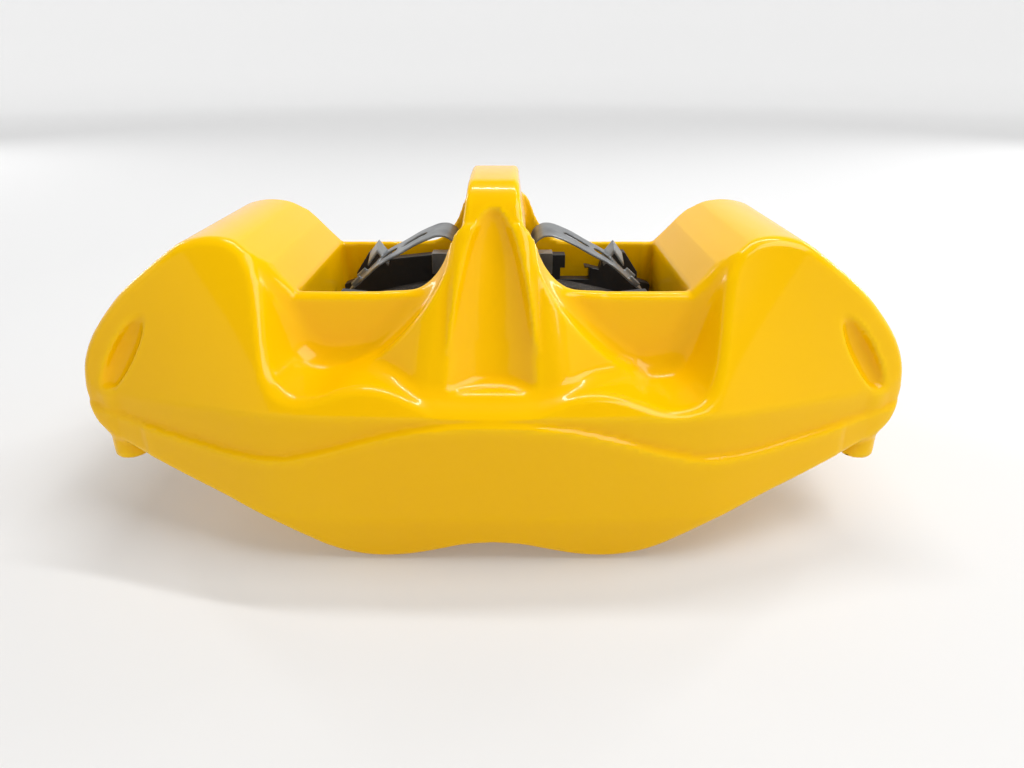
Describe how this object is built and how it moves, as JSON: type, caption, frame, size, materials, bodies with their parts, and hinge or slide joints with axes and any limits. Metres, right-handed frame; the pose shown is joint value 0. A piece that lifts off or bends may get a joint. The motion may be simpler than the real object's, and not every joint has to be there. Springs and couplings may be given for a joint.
{
  "type": "brake caliper",
  "caption": "Yellow painted one-piece fixed brake caliper with opposed pistons, pads, leaf springs over two windows and a centre bridge.",
  "frame": {"origin": "midway between the two radial mounting holes, on the plane of the lug faces", "axes": "+X along the caliper's length, +Y across the disc towards the inboard side, +Z radially outward from the wheel axis"},
  "size_m": [0.288, 0.16, 0.1214],
  "materials": {
    "caliper_paint": "gloss",
    "piston_steel": "satin",
    "seal_rubber": "matte",
    "boot_rubber": "matte",
    "plate_black": "matte",
    "friction": "matte",
    "stainless": "satin",
    "spring_steel": "satin",
    "zinc_steel": "satin",
    "cap_rubber": "matte",
    "plug_steel": "satin",
    "screw_steel": "satin"
  },
  "bodies": {
    "caliper": {"body": "caliper_paint", "seal_outboard_large": "seal_rubber", "boot_outboard_large": "boot_rubber", "seal_outboard_small": "seal_rubber", "boot_outboard_small": "boot_rubber", "seal_inboard_large": "seal_rubber", "boot_inboard_large": "boot_rubber", "seal_inboard_small": "seal_rubber", "boot_inboard_small": "boot_rubber", "pad_spring_left": "spring_steel", "gallery_plug_left": "plug_steel", "pad_spring_right": "spring_steel", "gallery_plug_right": "plug_steel", "pad_guide_outboard_left": "stainless", "pad_guide_outboard_right": "stainless", "pad_guide_inboard_left": "stainless", "pad_guide_inboard_right": "stainless", "spring_clamp": "stainless", "clamp_screws": "screw_steel", "guide_screws": "screw_steel"},
    "outboard_pad": {"backing_plate_outboard": "plate_black", "friction_block_outboard": "friction", "shim_outboard": "stainless"},
    "inboard_pad": {"backing_plate_inboard": "plate_black", "friction_block_inboard": "friction", "shim_inboard": "stainless"},
    "outboard_large_piston": {"piston_outboard_large": "piston_steel"},
    "outboard_small_piston": {"piston_outboard_small": "piston_steel"},
    "inboard_large_piston": {"piston_inboard_large": "piston_steel"},
    "inboard_small_piston": {"piston_inboard_small": "piston_steel"},
    "left_bleeder": {"bleed_screw_left": "zinc_steel"},
    "left_cap": {"bleed_cap_left": "cap_rubber"},
    "right_bleeder": {"bleed_screw_right": "zinc_steel"},
    "right_cap": {"bleed_cap_right": "cap_rubber"}
  },
  "joints": [
    {"name": "outboard_pad_slide", "type": "slide", "parent": "caliper", "child": "outboard_pad", "axis": [0, 1, 0], "range_m": [0, 0.008]},
    {"name": "inboard_pad_slide", "type": "slide", "parent": "caliper", "child": "inboard_pad", "axis": [0, -1, 0], "range_m": [0, 0.008]},
    {"name": "outboard_large_piston_slide", "type": "slide", "parent": "caliper", "child": "outboard_large_piston", "axis": [0, 1, 0], "range_m": [0, 0.008]},
    {"name": "outboard_small_piston_slide", "type": "slide", "parent": "caliper", "child": "outboard_small_piston", "axis": [0, 1, 0], "range_m": [0, 0.008]},
    {"name": "inboard_large_piston_slide", "type": "slide", "parent": "caliper", "child": "inboard_large_piston", "axis": [0, -1, 0], "range_m": [0, 0.008]},
    {"name": "inboard_small_piston_slide", "type": "slide", "parent": "caliper", "child": "inboard_small_piston", "axis": [0, -1, 0], "range_m": [0, 0.008]},
    {"name": "left_bleeder_turn", "type": "hinge", "parent": "caliper", "child": "left_bleeder", "pos_m": [-0.097, -0.004, 0.042], "axis": [0, 0, 1], "range_deg": [0, 180]},
    {"name": "left_cap_pull", "type": "slide", "parent": "left_bleeder", "child": "left_cap", "axis": [0, 0, 1], "range_m": [0, 0.015]},
    {"name": "right_bleeder_turn", "type": "hinge", "parent": "caliper", "child": "right_bleeder", "pos_m": [0.097, -0.004, 0.042], "axis": [0, 0, 1], "range_deg": [0, 180]},
    {"name": "right_cap_pull", "type": "slide", "parent": "right_bleeder", "child": "right_cap", "axis": [0, 0, 1], "range_m": [0, 0.015]}
  ],
  "couplings": [
    {"joint": "outboard_large_piston_slide", "follows": "outboard_pad_slide", "ratio": 1},
    {"joint": "outboard_small_piston_slide", "follows": "outboard_pad_slide", "ratio": 1},
    {"joint": "inboard_large_piston_slide", "follows": "inboard_pad_slide", "ratio": 1},
    {"joint": "inboard_small_piston_slide", "follows": "inboard_pad_slide", "ratio": 1}
  ]
}
